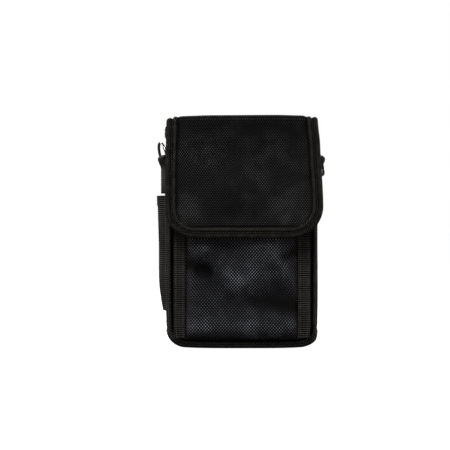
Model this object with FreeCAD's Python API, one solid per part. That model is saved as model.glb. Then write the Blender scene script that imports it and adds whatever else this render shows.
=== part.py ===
"""Soft carrying pouch for a hand-held test instrument.

Frame: +Z up, front of the pouch towards -Y, +X to the right seen from the front.  The
origin is the middle of the flat bottom that the pouch stands on.  Millimetres.

The pouch is a padded box of five walls, each a sandwich of outer cloth, foam and
lining.  A lid of two padded panels folds over the mouth and down the front.
"""
import math
import os

import FreeCAD
import Part

Vector = FreeCAD.Vector

# --- cloth, foam and tapes -------------------------------------------------------
outer_t = 1.2            # coated outer cloth
wall_foam_t = 3.2        # foam in the five walls
lining_t = 0.6           # lining cloth
seam_tape_t = 1.4        # folded tape over the front and back seams
tape_t = 0.6             # one thickness of the edge binding
tape_width = 9.5         # binding seen on each face of a bound edge
sewn_gap = 0.1           # between a sewn-on piece and the cloth under it
moving_gap = 0.5         # between pieces that part when the lid opens

# --- pouch body ------------------------------------------------------------------
body_depth = 54.0        # back cloth to front cloth
mouth_height = 200.8     # top of the side and front walls
back_wall_rise = 1.0     # the back wall stands this far above them, under the lid's fold
front_half_width = 62.0  # front seam, from the middle
side_half_width = 69.2   # widest part of the side gussets
back_half_width = 67.4   # back seam, from the middle
front_seam_rise = 8.1    # front seam above the bottom
back_seam_rise = 2.5     # back seam above the bottom
seam_corner_r = 12.0     # lower corners of the front and back seams
gusset_corner_r = 14.0   # lower corners of the gusset band
seam_band = 5.0          # depth of the slanting taped edge at the front and the back
shoulder_half_width = 65.0   # gusset where it leaves the front tape
shoulder_rise = 3.0      # its underside there
flat_front_inset = 9.0   # flat bottom starts this far behind the front face
bulge_front_inset = 18.0     # the gussets are full width from here back
flat_back_inset = 8.0    # flat bottom ends this far before the back face
rear_half_width = 69.0   # gusset where it meets the back tape
rear_rise = 0.5          # its underside there
side_panel_foot = 18.0   # height of the seams between the side and bottom gussets

# --- front pocket ----------------------------------------------------------------
pocket_half_width = 50.0
pocket_cloth_t = 1.2
pocket_mouth = 142.0     # height of the pocket's mouth
pocket_foot = 9.8        # height of its bottom seam
pocket_mouth_depth = 7.0     # how far the mouth stands out from the front wall
pocket_round = 14.0      # width of the rounded side of the pocket
belly_height = 30.0      # the pocket's face leans out down to here, then turns in
lid_lean = 2.5           # degrees that the pocket and the lid lean out at the foot

strip_width = 11.0       # ribbed webbing up both sides of the pocket
strip_t = 1.4
strip_foot = 10.5
strip_top = 152.0
strip_seam_inset = 0.8   # the strips stop this far inside the front seam

# --- lid -------------------------------------------------------------------------
lid_rise = 6.2           # top of the lid's cloth, above the side and front walls
lid_outer_t = 1.1
lid_foam_t = 2.5
lid_half_width = 67.5    # at the two folds
lid_low_half_width = 69.7    # above the lower corners
lid_foot = 99.6          # bottom edge of the lid, shut
lid_corner_r = 28.0
lid_edge_inset = 1.0     # the panels stop this far inside their bound edge
fold_gap = 0.3           # between the lid's two panels at the front fold
binding_fold_gap = 3.2   # the front binding starts this far under the fold

# --- hook and loop fastener ------------------------------------------------------
fastener_t = 1.2
fastener_half_width = 34.0
fastener_height = 21.0
fastener_drop = 73.5     # its top edge, below the front fold

# --- rings and their webbing -----------------------------------------------------
ring_wire_r = 1.25
ring_wire_sides = 12     # flats that stand for the round wire
ring_inner_width = 20.0
ring_leg = 3.5           # height of the ring's sides before its bow
ring_corner_r = 2.4      # the wire's bend at each end of the bar
ring_play = 0.35         # between the bar and the webbing round it
ring_side_play = 0.7     # between the webbing's edges and the ring
ring_webbing_t = 1.2
ring_webbing_foot = 139.4
ring_tail_foot = 150.0   # sewn end of the outer tail
ring_tail_sewn = 13.0    # length of that tail that lies flat on the inner one
ring_tail_rise = 8.1     # the ring's bar stands this far above where the tails part
left_ring_lean = 15.0    # degrees the left ring leans out from upright
right_ring_hang = 12.0   # degrees the right ring hangs out from straight down

# --- elastic side pocket ---------------------------------------------------------
elastic_t = 1.2
elastic_mouth = 138.0
elastic_foot = 34.0
elastic_front = -20.0    # its two sewn edges, front and back
elastic_back = 21.0
elastic_mouth_reach = 7.2    # how far its cloth stands out from the gusset at the mouth
elastic_low_reach = 6.4
elastic_foot_reach = 3.2
elastic_low = 56.0       # height where it starts to close in to its foot

# --- belt loop -------------------------------------------------------------------
belt_loop_width = 40.0
belt_loop_t = 1.6
belt_loop_gap = 5.6      # room for a belt
belt_loop_foot = 58.0
belt_loop_top = 152.0
belt_loop_tail = 12.0    # sewn end
belt_loop_ramp = 8.0     # height over which it leaves the back wall

# --- places worked out from the sizes --------------------------------------------
front_face = -body_depth / 2
back_face = body_depth / 2
back_height = mouth_height + back_wall_rise
lid_height = mouth_height + lid_rise
ring_tail_join = ring_tail_foot + ring_tail_sewn
ring_height = ring_tail_join + ring_tail_rise    # height of the ring's bar
wall_t = outer_t + wall_foam_t + lining_t
lid_t = lid_outer_t + lid_foam_t + lining_t
lid_half_t = lid_t / 2
fold_height = lid_height - lid_half_t
rear_fold_y = back_face - lid_half_t
lean_slope = math.tan(math.radians(lid_lean))
lean_stretch = 1 / math.cos(math.radians(lid_lean))
fastener_stack = lid_half_t + 2 * fastener_t + moving_gap + sewn_gap
pocket_face_at_fold = front_face - pocket_mouth_depth + (fold_height - pocket_mouth) * lean_slope
front_fold_y = pocket_face_at_fold - fastener_stack * lean_stretch
lid_drop = (fold_height - lid_foot) * lean_stretch

# The body's cross-sections from front to back: y, half width, underside, corner radius.
front_seam = (front_face, front_half_width, front_seam_rise, seam_corner_r)
front_shoulder = (front_face + seam_band, shoulder_half_width, shoulder_rise, gusset_corner_r)
bulge_run = bulge_front_inset - seam_band
bulge_slope = (side_half_width - shoulder_half_width) / bulge_run
flat_front_half = shoulder_half_width + (flat_front_inset - seam_band) * bulge_slope
flat_front = (front_face + flat_front_inset, flat_front_half, 0.0, gusset_corner_r)
full_front = (front_face + bulge_front_inset, side_half_width, 0.0, gusset_corner_r)
full_back = (back_face - flat_back_inset, side_half_width, 0.0, gusset_corner_r)
rear_shoulder = (back_face - seam_band, rear_half_width, rear_rise, gusset_corner_r)
back_seam = (back_face, back_half_width, back_seam_rise, seam_corner_r)
gusset_sections = [front_shoulder, flat_front, full_front, full_back, rear_shoulder]


def box(x0, x1, y0, y1, z0, z1):
    return Part.makeBox(x1 - x0, y1 - y0, z1 - z0, Vector(x0, y0, z0))


def slab(axis, low, high, reach=400.0):
    """All of space between two planes across one axis."""
    limits = {"x": (-reach, reach), "y": (-reach, reach), "z": (-reach, reach)}
    limits[axis] = (low, high)
    return box(*limits["x"], *limits["y"], *limits["z"])


def chain(edges):
    return Part.Wire(edges)


def line(a, b):
    return Part.LineSegment(a, b).toShape()


def arc(a, middle, b):
    return Part.Arc(a, middle, b).toShape()


# --- the five padded walls -------------------------------------------------------
def section_wire(section, inset, top):
    """One cross-section of the body: an upright U with rounded corners and a flat lid."""
    y, half_width, underside, corner_r = section
    x = half_width - inset
    z = underside + inset
    r = corner_r - inset
    d = r * (1 - math.sqrt(0.5))
    return chain([
        line(Vector(-x + r, y, z), Vector(x - r, y, z)),
        arc(Vector(x - r, y, z), Vector(x - d, y, z + d), Vector(x, y, z + r)),
        line(Vector(x, y, z + r), Vector(x, y, top)),
        line(Vector(x, y, top), Vector(-x, y, top)),
        line(Vector(-x, y, top), Vector(-x, y, z + r)),
        arc(Vector(-x, y, z + r), Vector(-x + d, y, z + d), Vector(-x + r, y, z)),
    ])


def body_block(sections, inset, top):
    wires = [section_wire(section, inset, top) for section in sections]
    return Part.makeLoft(wires, True, True)


def band(sections, outer_inset, inner_inset, top, overrun=5.0):
    """A U-shaped layer between two insets, open at the top."""
    outside = body_block(sections, outer_inset, top)
    inside = body_block(sections, inner_inset, top + overrun)
    return outside.cut(inside)


def panel_layers(sections, first_face, step, top):
    """Outer cloth, foam and lining of the front or back wall, cut across the depth."""
    block = body_block(sections, seam_tape_t + sewn_gap, top)
    layers = []
    start = first_face
    for thickness in (outer_t, wall_foam_t, lining_t):
        end = start + step * thickness
        layers.append(block.common(slab("y", min(start, end), max(start, end))))
        start = end
    return layers


def gusset_layers():
    """Each layer of the gusset band, cut into the two sides and the bottom."""
    insets = [0.0, outer_t, outer_t + wall_foam_t, wall_t]
    parts = {}
    for name, outside, inside in zip(("outer", "foam", "lining"), insets, insets[1:]):
        layer = band(gusset_sections, outside, inside, mouth_height)
        upper = layer.common(slab("z", side_panel_foot, mouth_height + 1))
        parts["left_gusset_" + name] = upper.common(slab("x", -400.0, 0.0))
        parts["right_gusset_" + name] = upper.common(slab("x", 0.0, 400.0))
        parts["bottom_gusset_" + name] = layer.common(slab("z", -1.0, side_panel_foot))
    return parts


def mouth_binding():
    """Tape folded over the top edges of the side walls and the front wall."""
    front_edge = (front_face - tape_t,) + front_seam[1:]
    rear_edge = (back_face - seam_band - sewn_gap,) + rear_shoulder[1:]
    ring_sections = [front_edge, front_shoulder, flat_front, full_front, full_back, rear_edge]
    outside = body_block(ring_sections, -tape_t, mouth_height + tape_t)
    inner_front = (front_face + wall_t + tape_t,) + front_shoulder[1:]
    inner_rear = (back_face,) + rear_shoulder[1:]
    inner_sections = [inner_front, flat_front, full_front, full_back, inner_rear]
    inside = body_block(inner_sections, wall_t + tape_t, mouth_height + 5)
    wall_sections = [front_seam] + gusset_sections
    room_front = (front_face + wall_t,) + front_shoulder[1:]
    room = body_block([room_front] + gusset_sections[1:], wall_t, mouth_height + 5)
    walls = body_block(wall_sections, 0.0, mouth_height).cut(room)
    tape = outside.cut(inside).cut(walls)
    return tape.common(slab("z", mouth_height - tape_width, mouth_height + tape_t))


# --- front pocket ----------------------------------------------------------------
def pocket_depth(height):
    """How far the leaning face of the pocket stands out from the front wall."""
    return pocket_mouth_depth + (pocket_mouth - height) * lean_slope


def pocket_plan(grow):
    """The pocket from above: a flat face with rounded sides, against the front wall."""
    wall = front_face - sewn_gap
    flat = pocket_half_width - pocket_round
    depth = pocket_depth(belly_height)
    r = (pocket_round ** 2 + depth ** 2) / (2 * depth)
    centre_y = wall - depth + r
    r = r + grow
    foot_angle = math.acos((centre_y - wall) / r)

    def on_arc(sign, angle):
        x = sign * (flat + r * math.sin(angle))
        return Vector(x, centre_y - r * math.cos(angle), 0.0)

    left = on_arc(-1, foot_angle)
    right = on_arc(1, foot_angle)
    outline = chain([
        arc(left, on_arc(-1, foot_angle / 2), on_arc(-1, 0.0)),
        line(on_arc(-1, 0.0), on_arc(1, 0.0)),
        arc(on_arc(1, 0.0), on_arc(1, foot_angle / 2), right),
        line(right, left),
    ])
    return Part.Face(outline).extrude(Vector(0, 0, mouth_height))


def pocket_profile(grow, top):
    """The pocket from the side: a leaning face over a round belly that turns in to the wall."""
    wall = front_face - sewn_gap
    foot = Vector(0, wall, pocket_foot)
    belly = Vector(0, wall - pocket_depth(belly_height), belly_height)
    inward = Vector(0, 1, lean_slope).normalize()
    reach = foot - belly
    r = reach.Length ** 2 / (2 * reach.dot(inward))
    centre = belly + inward * r
    foot_drop = math.sqrt((r + grow) ** 2 - (wall - centre.y) ** 2)
    low = Vector(0, wall, centre.z - foot_drop)
    start = centre - inward * (r + grow)
    half_way = (start - centre) + (low - centre)
    middle = centre + half_way.normalize() * (r + grow)
    head = start + Vector(0, lean_slope, 1) * (top - start.z)
    outline = chain([
        arc(low, middle, start),
        line(start, head),
        line(head, Vector(0, wall, top)),
        line(Vector(0, wall, top), low),
    ])
    half = 2 * pocket_half_width
    block = Part.Face(outline).extrude(Vector(2 * half, 0, 0))
    block.translate(Vector(-half, 0, 0))
    return block


def pocket_block(grow, top):
    """The whole space under the pocket's cloth, grown outwards by one distance."""
    return pocket_plan(grow).common(pocket_profile(grow, top))


def pocket_panel():
    room = pocket_block(-pocket_cloth_t, pocket_mouth + tape_width)
    return pocket_block(0.0, pocket_mouth).cut(room)


def pocket_mouth_binding(panel):
    """Tape folded over the pocket's mouth."""
    room = pocket_block(-pocket_cloth_t - tape_t, pocket_mouth + tape_width)
    tape = pocket_block(tape_t, pocket_mouth + tape_t).cut(room).cut(panel)
    tape = tape.common(slab("x", -pocket_half_width, pocket_half_width))
    return tape.common(slab("z", pocket_mouth - tape_width, pocket_mouth + tape_t))


def front_strip(sign):
    """Ribbed webbing up one side of the pocket, its foot trimmed to the seam's corner."""
    inner = pocket_half_width + 2 * sewn_gap
    outer = inner + strip_width
    x0, x1 = sorted((sign * inner, sign * outer))
    back = front_face - sewn_gap
    strip = box(x0, x1, back - strip_t, back, strip_foot, strip_top)
    outline = Part.Face(section_wire(front_seam, strip_seam_inset, mouth_height))
    return strip.common(outline.extrude(Vector(0, -2 * (strip_t + sewn_gap), 0)))


# --- lid -------------------------------------------------------------------------
def lid_outline(inset, start, drop):
    """The front lid panel's outline, hanging from the front fold, in its own plane."""
    half_top = lid_half_width - inset
    half_low = lid_low_half_width - inset
    foot = -(drop - inset)
    r = lid_corner_r - inset
    d = r * (1 - math.sqrt(0.5))

    def at(x, z):
        return Vector(x, 0.0, z)

    return chain([
        line(at(-half_top, start), at(-half_low, foot + r)),
        arc(at(-half_low, foot + r), at(-half_low + d, foot + d), at(-half_low + r, foot)),
        line(at(-half_low + r, foot), at(half_low - r, foot)),
        arc(at(half_low - r, foot), at(half_low - d, foot + d), at(half_low, foot + r)),
        line(at(half_low, foot + r), at(half_top, start)),
        line(at(half_top, start), at(-half_top, start)),
    ])


def lid_plate(inset, start, y0, y1):
    plate = Part.Face(lid_outline(inset, start, lid_drop)).extrude(Vector(0, y1 - y0, 0))
    plate.translate(Vector(0, y0, 0))
    return plate


def fold_roll(half_length):
    """The rounded cloth of a fold, along X about the origin."""
    return Part.makeCylinder(lid_half_t, 2 * half_length, Vector(-half_length, 0, 0), Vector(1, 0, 0))


def hang_on_front_fold(shape):
    """Lean a piece built under the origin and hang it from the front fold."""
    shape.rotate(Vector(0, 0, 0), Vector(1, 0, 0), -lid_lean)
    shape.translate(Vector(0, front_fold_y, fold_height))
    return shape


def lid_layer_offsets():
    """Distances through the lid from its outside to its inside."""
    first = -lid_half_t
    second = first + lid_outer_t
    third = second + lid_foam_t
    return [first, second, third, lid_half_t]


def front_lid_pieces():
    offsets = lid_layer_offsets()
    plates = []
    for y0, y1 in zip(offsets, offsets[1:]):
        plates.append(lid_plate(lid_edge_inset, 0.0, y0, y1))
    outer, foam, lining = plates
    roll = fold_roll(lid_half_width - lid_edge_inset)
    foam = foam.cut(roll)
    lining = lining.cut(roll)
    outer = outer.fuse(roll).removeSplitter()
    edge_half = lid_half_t + tape_t
    tape = lid_plate(0.0, -binding_fold_gap, -edge_half, edge_half)
    tape = tape.cut(lid_plate(tape_width, 1.0, -edge_half - 1, edge_half + 1))
    tape = tape.cut(lid_plate(lid_edge_inset, 0.0, -lid_half_t, lid_half_t))
    hook = box(
        -fastener_half_width, fastener_half_width,
        lid_half_t, lid_half_t + fastener_t,
        -fastener_drop - fastener_height, -fastener_drop)
    loop_back = lid_half_t + 2 * fastener_t + moving_gap
    loop = box(
        -fastener_half_width, fastener_half_width,
        loop_back - fastener_t, loop_back,
        -fastener_drop - fastener_height, -fastener_drop)
    pieces = {
        "flap_front_outer": outer,
        "flap_front_foam": foam,
        "flap_front_lining": lining,
        "flap_front_binding": tape,
        "flap_hook_fastener": hook,
        "pocket_loop_fastener": loop,
    }
    return {name: hang_on_front_fold(shape) for name, shape in pieces.items()}


def top_lid_pieces():
    """The lid panel over the mouth, rounded where it folds up from the back wall."""
    offsets = lid_layer_offsets()
    start = front_fold_y + lid_half_t + fold_gap
    half = lid_half_width - lid_edge_inset
    plates = []
    for above, below in zip(offsets, offsets[1:]):
        plates.append(box(-half, half, start, rear_fold_y, fold_height - below, fold_height - above))
    outer, foam, lining = plates
    roll = fold_roll(half)
    roll.translate(Vector(0, rear_fold_y, fold_height))
    foam = foam.cut(roll)
    lining = lining.cut(roll)
    outer = outer.fuse(roll).removeSplitter()
    edge_half = lid_half_t + tape_t
    core = box(-half, half, start, rear_fold_y, fold_height - lid_half_t, fold_height + lid_half_t)
    pieces = {"flap_top_outer": outer, "flap_top_foam": foam, "flap_top_lining": lining}
    for name, sign in (("left", -1), ("right", 1)):
        x0, x1 = sorted((sign * (lid_half_width - tape_width), sign * lid_half_width))
        edge = box(x0, x1, start, rear_fold_y, fold_height - edge_half, fold_height + edge_half)
        pieces["flap_top_" + name + "_binding"] = edge.cut(core).cut(roll)
    return pieces


# --- rings and their webbing -----------------------------------------------------
facet_run = Vector(full_front[1] - front_shoulder[1], full_front[0] - front_shoulder[0], 0)
facet_yaw = math.degrees(math.atan2(facet_run.x, facet_run.y))
facet_middle = Vector(
    (full_front[1] + front_shoulder[1]) / 2,
    (full_front[0] + front_shoulder[0]) / 2,
    0)
ring_bar_stand = sewn_gap + ring_webbing_t + ring_play + ring_wire_r
ring_half_width = ring_inner_width / 2 + ring_wire_r


def seat_on_side(shape, side):
    """Move a piece built outward along +X on to the slanting front of a side gusset."""
    shape.rotate(Vector(0, 0, 0), Vector(0, 0, 1), -facet_yaw)
    shape.translate(facet_middle)
    if side == "left":
        shape = shape.mirror(Vector(0, 0, 0), Vector(1, 0, 0))
    return shape


def wire_section(centre, normal):
    """The ring's wire cut across, as a round with a few flats, in the plane of one normal."""
    side = normal.cross(Vector(1, 0, 0))
    corners = []
    for number in range(ring_wire_sides):
        angle = 2 * math.pi * (number + 0.5) / ring_wire_sides
        offset = side * math.cos(angle) + Vector(1, 0, 0) * math.sin(angle)
        corners.append(centre + offset * ring_wire_r)
    return Part.Face(Part.makePolygon(corners + corners[:1]))


def d_ring(tilt):
    """A welded D of round wire; tilt is how far its bow leans out from upright."""
    w = ring_half_width
    c = ring_corner_r
    along = Vector(0, 1, 0)
    up = Vector(0, 0, 1)
    turn = Vector(1, 0, 0)
    bar = wire_section(Vector(0, c - w, 0), along).extrude(along * 2 * (w - c))
    pieces = []
    for sign in (-1, 1):
        leg = wire_section(Vector(0, sign * w, c), up)
        pieces.append(leg.extrude(up * (ring_leg - c)))
        corner = Vector(0, sign * (w - c), c)
        pieces.append(leg.revolve(corner, turn, -sign * 90))
    bow = wire_section(Vector(0, w, ring_leg), up)
    pieces.append(bow.revolve(Vector(0, 0, ring_leg), turn, 180))
    ring = bar.fuse(pieces).removeSplitter()
    ring.rotate(Vector(0, 0, 0), along, tilt)
    ring.translate(Vector(ring_bar_stand, 0, ring_height))
    return ring


def ring_webbing():
    """Webbing that runs up the gusset, round the ring's bar and back down to its seam."""
    half = ring_inner_width / 2 - ring_side_play
    bore_r = ring_wire_r + ring_play
    loop_r = bore_r + ring_webbing_t
    inner0 = sewn_gap
    inner1 = inner0 + ring_webbing_t
    outer1 = inner1 + ring_webbing_t
    loop_out = ring_bar_stand + loop_r
    loop_in = ring_bar_stand + bore_r
    axis = Vector(0, 1, 0)
    start = Vector(ring_bar_stand, -half, ring_height)
    loop = Part.makeCylinder(loop_r, 2 * half, start, axis)
    inner = box(inner0, inner1, -half, half, ring_webbing_foot, ring_height)

    def at(x, z):
        return Vector(x, -half, z)

    corners = [
        at(loop_in, ring_height), at(loop_out, ring_height), at(outer1, ring_tail_join),
        at(outer1, ring_tail_foot), at(inner1, ring_tail_foot), at(inner1, ring_tail_join),
    ]
    tail = Part.Face(Part.makePolygon(corners + corners[:1])).extrude(Vector(0, 2 * half, 0))
    bore = Part.makeCylinder(bore_r, 2 * half, start, axis)
    return loop.fuse([inner, tail]).cut(bore).removeSplitter()


# --- elastic side pocket ---------------------------------------------------------
def gusset_half_width(y):
    """Outside half width of the gusset at one depth."""
    corners = [(s[0], s[1]) for s in (front_shoulder, full_front, full_back, rear_shoulder)]
    for (y0, x0), (y1, x1) in zip(corners, corners[1:]):
        if y0 <= y <= y1:
            return x0 + (x1 - x0) * (y - y0) / (y1 - y0)
    return side_half_width


def elastic_wire(height, reach):
    """A bowed strip between the two sewn edges on the left gusset."""
    middle_y = (elastic_front + elastic_back) / 2
    peak = -side_half_width - reach

    def at(x, y):
        return Vector(x, y, height)

    def on_gusset(y):
        return at(-gusset_half_width(y) - sewn_gap, y)

    front = on_gusset(elastic_front)
    back = on_gusset(elastic_back)
    inner_front = on_gusset(elastic_front + elastic_t)
    inner_back = on_gusset(elastic_back - elastic_t)
    return chain([
        arc(front, at(peak, middle_y), back),
        line(back, inner_back),
        arc(inner_back, at(peak + elastic_t, middle_y), inner_front),
        line(inner_front, front),
    ])


def elastic_pocket():
    sections = [
        (elastic_mouth, elastic_mouth_reach),
        (elastic_low, elastic_low_reach),
        (elastic_foot, elastic_foot_reach),
    ]
    wall = Part.makeLoft([elastic_wire(height, reach) for height, reach in sections], True, True)
    front_x = -gusset_half_width(elastic_front) - sewn_gap
    back_x = -gusset_half_width(elastic_back) - sewn_gap
    middle_y = (elastic_front + elastic_back) / 2

    def at(x, y):
        return Vector(x, y, elastic_foot)

    front = at(front_x, elastic_front)
    back = at(back_x, elastic_back)
    bulge = at(-side_half_width - sewn_gap, full_front[0])
    rear = at(-side_half_width - sewn_gap, full_back[0])
    bow = arc(front, at(-side_half_width - elastic_foot_reach, middle_y), back)
    floor = Part.Face(chain([bow, line(back, rear), line(rear, bulge), line(bulge, front)]))
    return wall.fuse(floor.extrude(Vector(0, 0, elastic_t))).removeSplitter()


# --- belt loop -------------------------------------------------------------------
def belt_loop():
    """A strap sewn to the back wall at both ends, bowed out for the belt."""
    near = back_face + sewn_gap
    far = near + belt_loop_gap
    low = belt_loop_foot + belt_loop_tail
    high = belt_loop_top - belt_loop_tail
    ramp = belt_loop_ramp
    t = belt_loop_t
    rise = t * math.tan(math.atan2(far - near, ramp) / 2)

    def at(y, z):
        return Vector(-belt_loop_width / 2, y, z)

    corners = [
        at(near, belt_loop_foot), at(near + t, belt_loop_foot),
        at(near + t, low - rise), at(far + t, low + ramp - rise),
        at(far + t, high - ramp + rise), at(near + t, high + rise),
        at(near + t, belt_loop_top), at(near, belt_loop_top),
        at(near, high), at(far, high - ramp), at(far, low + ramp), at(near, low),
    ]
    face = Part.Face(Part.makePolygon(corners + corners[:1]))
    return face.extrude(Vector(belt_loop_width, 0, 0))


def build_nodes():
    nodes = {}
    front_layers = panel_layers([front_seam, front_shoulder], front_face, 1, mouth_height)
    back_layers = panel_layers([rear_shoulder, back_seam], back_face, -1, back_height)
    for name, front, back in zip(("outer", "foam", "lining"), front_layers, back_layers):
        nodes["front_panel_" + name] = front
        nodes["back_panel_" + name] = back
    nodes.update(gusset_layers())
    nodes["front_seam_binding"] = band([front_seam, front_shoulder], 0.0, seam_tape_t, mouth_height)
    nodes["back_seam_binding"] = band([rear_shoulder, back_seam], 0.0, seam_tape_t, mouth_height)
    nodes["mouth_binding"] = mouth_binding()
    panel = pocket_panel()
    nodes["pocket_panel"] = panel
    nodes["pocket_mouth_binding"] = pocket_mouth_binding(panel)
    nodes["left_front_webbing"] = front_strip(-1)
    nodes["right_front_webbing"] = front_strip(1)
    nodes.update(front_lid_pieces())
    nodes.update(top_lid_pieces())
    nodes["left_d_ring"] = seat_on_side(d_ring(left_ring_lean), "left")
    nodes["right_d_ring"] = seat_on_side(d_ring(180.0 - right_ring_hang), "right")
    nodes["left_ring_webbing"] = seat_on_side(ring_webbing(), "left")
    nodes["right_ring_webbing"] = seat_on_side(ring_webbing(), "right")
    nodes["elastic_pocket"] = elastic_pocket()
    nodes["belt_loop"] = belt_loop()
    return nodes


os.makedirs("parts", exist_ok=True)
for node, shape in build_nodes().items():
    if not shape.isValid() or len(shape.Solids) != 1:
        raise ValueError("%s is not one sound solid" % node)
    shape.exportStep("parts/" + node + ".step")
    print("%-28s %9.0f mm3" % (node, shape.Volume))
print("front fold at y %.2f, height %.2f; rear fold at y %.2f" % (front_fold_y, fold_height, rear_fold_y))
print("ring bar at %s, yaw %.2f" % (facet_middle, facet_yaw))
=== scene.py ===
from math import acos, atan2, cos, hypot, pi, radians, sin, tan

import bpy
import numpy as np
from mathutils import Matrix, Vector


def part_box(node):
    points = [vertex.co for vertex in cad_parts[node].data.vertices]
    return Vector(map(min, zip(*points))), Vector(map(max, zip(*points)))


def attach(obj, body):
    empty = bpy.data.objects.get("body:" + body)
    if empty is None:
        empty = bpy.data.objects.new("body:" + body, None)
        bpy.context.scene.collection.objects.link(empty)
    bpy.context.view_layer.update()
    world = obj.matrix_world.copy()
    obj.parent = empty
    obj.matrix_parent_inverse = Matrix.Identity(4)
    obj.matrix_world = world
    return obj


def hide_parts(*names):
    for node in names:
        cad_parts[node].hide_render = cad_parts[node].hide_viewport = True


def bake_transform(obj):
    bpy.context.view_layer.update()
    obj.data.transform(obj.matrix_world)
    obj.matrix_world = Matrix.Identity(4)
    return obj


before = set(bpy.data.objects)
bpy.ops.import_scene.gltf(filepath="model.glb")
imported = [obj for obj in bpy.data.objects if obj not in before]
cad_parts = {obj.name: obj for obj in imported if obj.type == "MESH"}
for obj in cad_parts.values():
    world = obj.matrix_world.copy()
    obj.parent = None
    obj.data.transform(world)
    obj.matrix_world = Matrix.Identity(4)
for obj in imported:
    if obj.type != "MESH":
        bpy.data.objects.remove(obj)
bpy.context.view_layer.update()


# --- The studio ---
# A sheet of white paper under the pouch and a white room round it, lit by large soft
# boxes from above and in front, so that the black cloth shows hardly any shadow.
MM = 0.001


def feed(value, socket):
    """Set a socket to a number or colour, or join another node's output to it."""
    if isinstance(value, bpy.types.NodeSocket):
        socket.id_data.links.new(value, socket)
    else:
        socket.default_value = value


def fill(made, inputs):
    for name, value in inputs.items():
        feed(value, made.inputs[name])


def node(tree, kind, inputs=None, **settings):
    made = tree.nodes.new(kind)
    for setting, value in settings.items():
        setattr(made, setting, value)
    fill(made, inputs or {})
    return made


def calc(operation, *values):
    """A sum on numbers and nodes' outputs, in the material of the first of those."""
    tree = next(value.id_data for value in values if isinstance(value, bpy.types.NodeSocket))
    inputs = dict(enumerate((*values, 0.0, 0.0)[:3]))
    return node(tree, "ShaderNodeMath", inputs, operation=operation).outputs[0]


def times(first, *others):
    for other in others:
        first = calc("MULTIPLY", first, other)
    return first


def new_material(name):
    material = bpy.data.materials.new(name)
    material.use_nodes = True
    return material, material.node_tree, material.node_tree.nodes["Principled BSDF"]


def object_places(tree):
    return node(tree, "ShaderNodeTexCoord").outputs["Object"]


def grain(tree, scale, detail=3.0, places=None):
    inputs = {"Scale": scale, "Detail": detail, "Vector": places or object_places(tree)}
    return node(tree, "ShaderNodeTexNoise", inputs).outputs["Fac"]


def shades(amount, low, high):
    """A colour between two, by an amount from 0 to 1."""
    inputs = {0: amount, 6: (*low, 1.0), 7: (*high, 1.0)}
    return node(amount.id_data, "ShaderNodeMix", inputs, data_type="RGBA").outputs[2]


def between(amount, low, high):
    """A number that goes from low to high as an amount goes from 0 to 1."""
    return calc("MULTIPLY_ADD", amount, high - low, low)


def finish(shader, colour, roughness, gloss, height, distance, strength):
    """Colour and shine, and the fine relief that a height of this distance in metres gives."""
    relief = {"Strength": strength, "Distance": distance, "Height": height}
    fill(shader, {
        "Base Color": colour, "Roughness": roughness, "Specular IOR Level": gloss,
        "Normal": node(shader.id_data, "ShaderNodeBump", relief).outputs[0]})


def put(name, data):
    made = bpy.data.objects.new(name, data)
    scene.collection.objects.link(made)
    return made


scene = bpy.context.scene
camera = put("camera", bpy.data.cameras.new("camera"))
camera.location = (-0.015, -1.043, 0.1114)
camera.rotation_euler = (radians(90), 0, 0)
camera.data.sensor_width = 36
camera.data.lens = 90.9
scene.camera = camera
scene.view_settings.view_transform = "Standard"

paper, tree, shader = new_material("white_paper")
fibres = grain(tree, 900.0)
finish(shader, shades(fibres, (0.36, 0.36, 0.355), (0.42, 0.42, 0.415)), 0.9, 0.1, fibres, 0.0001, 0.2)
white = (1.0, 1.0, 1.0, 1.0)
fill(shader, {"Emission Color": white, "Emission Strength": 0.93})

floor_reach = 1.8
under_pouch = -0.0002
floor_mesh = bpy.data.meshes.new("floor")
floor_mesh.from_pydata(
    [(x * floor_reach, y * floor_reach, under_pouch) for x, y in ((-1, -1), (1, -1), (1, 1), (-1, 1))],
    [], [(0, 1, 2, 3)])
floor_mesh.materials.append(paper)
floor = put("floor", floor_mesh)

room_white, tree, shader = new_material("room_white")
tree.nodes.remove(shader)
glow = node(tree, "ShaderNodeEmission", {"Strength": 1.0})
feed(glow.outputs[0], tree.nodes["Material Output"].inputs["Surface"])
bpy.ops.mesh.primitive_uv_sphere_add(segments=48, ring_count=24, radius=6.0)
room = bpy.context.object
room.name = "room"
room.data.materials.append(room_white)
room.visible_shadow = False
for piece in (floor, room):
    piece.visible_diffuse = False
    piece.visible_glossy = False

scene.world = bpy.data.worlds.new("studio_air")
scene.world.use_nodes = True
fill(scene.world.node_tree.nodes["Background"], {"Color": white, "Strength": 0.05})


def soft_box(name, place, size, watts, aim=(0, 0, 0.1)):
    lamp = bpy.data.lights.new(name, "AREA")
    lamp.shape = "DISK"
    lamp.size = size
    lamp.energy = watts
    box = put(name, lamp)
    box.location = place
    x, y, z = np.subtract(place, aim)
    box.rotation_euler = (atan2(hypot(x, y), z), 0, atan2(y, x) + pi / 2)


soft_box("key_light", (-0.35, -1.15, 1.55), 0.7, 27)
soft_box("front_light", (0.4, -1.9, 0.25), 0.9, 5.5)
soft_box("left_card", (-1.6, 0.55, 0.7), 1.0, 18)
soft_box("right_card", (1.6, 0.55, 0.7), 1.0, 18)
soft_box("floor_bounce", (0.0, -0.13, 0.002), 0.14, 0.06, (0, -0.03, 0.012))
soft_box("back_light", (-0.5, 1.5, 1.3), 1.0, 15)


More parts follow.
